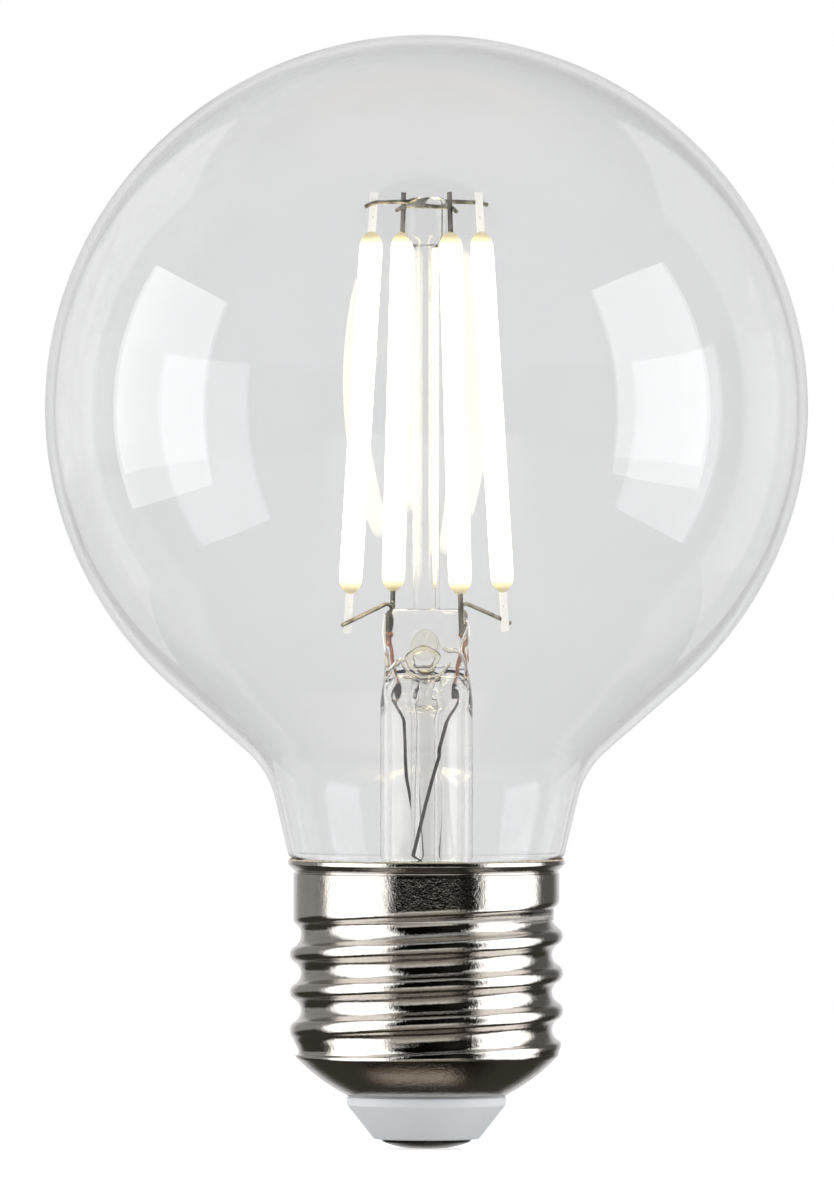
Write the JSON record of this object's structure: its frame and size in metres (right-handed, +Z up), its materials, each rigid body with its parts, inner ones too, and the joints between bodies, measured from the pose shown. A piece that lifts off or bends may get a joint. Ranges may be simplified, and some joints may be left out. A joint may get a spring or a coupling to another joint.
{
  "type": "led filament bulb",
  "caption": "Clear globe light bulb with upright LED filaments on a glass stem and an Edison screw cap that holds its driver.",
  "frame": {"origin": "lowest point of the centre contact, on the bulb's axis", "axes": "+Z runs up the bulb's axis from the centre contact to the globe's crown; +X is to the right and +Y points away when the bulb is seen as in the picture"},
  "size_m": [0.0738, 0.0738, 0.1077],
  "materials": {
    "nickelled_cap": "bright rolled nickel plate",
    "contact_metal": "bright pressed metal",
    "insulator_plastic": "smooth moulded white plastic",
    "clear_glass": "clear blown glass",
    "stem_glass": "clear worked glass",
    "cement": "baked capping cement",
    "phosphor_silicone": "lit translucent silicone with phosphor",
    "strip_ceramic": "fired strip",
    "led_chip": "small diced chips",
    "tab_metal": "stamped plated metal",
    "support_wire": "drawn nickel wire",
    "copper_clad_wire": "copper-clad wire",
    "lead_wire": "dull drawn wire",
    "board": "glass-fibre board",
    "sleeve_film": "rolled insulating film",
    "capacitor_can": "can in a dark shrink sleeve",
    "ferrite": "pressed ferrite",
    "copper_winding": "enamelled copper winding",
    "black_package": "moulded package with plated legs",
    "resistor_ceramic": "small chip bodies",
    "fuse_body": "lacquered body",
    "insulated_wire": "insulated wire",
    "bare_wire": "tinned copper wire"
  },
  "bodies": {
    "root": {"bridge_rectifier": "black_package", "cap_insulator": "insulator_plastic", "capping_cement": "cement", "centre_contact": "contact_metal", "chip_resistors": "resistor_ceramic", "choke_core": "ferrite", "choke_winding": "copper_winding", "driver_board": "board", "driver_chip": "black_package", "driver_sleeve": "sleeve_film", "exhaust_tube": "stem_glass", "filament_back_bottom_tab": "tab_metal", "filament_back_led_chips": "led_chip", "filament_back_phosphor_coat": "phosphor_silicone", "filament_back_strip": "strip_ceramic", "filament_back_top_tab": "tab_metal", "filament_front_bottom_tab": "tab_metal", "filament_front_led_chips": "led_chip", "filament_front_phosphor_coat": "phosphor_silicone", "filament_front_strip": "strip_ceramic", "filament_front_top_tab": "tab_metal", "filament_left_bottom_tab": "tab_metal", "filament_left_led_chips": "led_chip", "filament_left_phosphor_coat": "phosphor_silicone", "filament_left_strip": "strip_ceramic", "filament_left_top_tab": "tab_metal", "filament_right_bottom_tab": "tab_metal", "filament_right_led_chips": "led_chip", "filament_right_phosphor_coat": "phosphor_silicone", "filament_right_strip": "strip_ceramic", "filament_right_top_tab": "tab_metal", "fuse_resistor": "fuse_body", "glass_globe": "clear_glass", "lead_wire_left": "lead_wire", "lead_wire_right": "lead_wire", "live_wire": "insulated_wire", "neutral_wire": "bare_wire", "screw_shell": "nickelled_cap", "seal_wire_left": "copper_clad_wire", "seal_wire_right": "copper_clad_wire", "smoothing_capacitor": "capacitor_can", "stem_flare": "stem_glass", "support_rod": "stem_glass", "support_wire_back": "support_wire", "support_wire_front": "support_wire", "support_wire_left": "support_wire", "support_wire_right": "support_wire", "top_wire_front_back": "support_wire", "top_wire_left_right": "support_wire"}
  },
  "joints": []
}
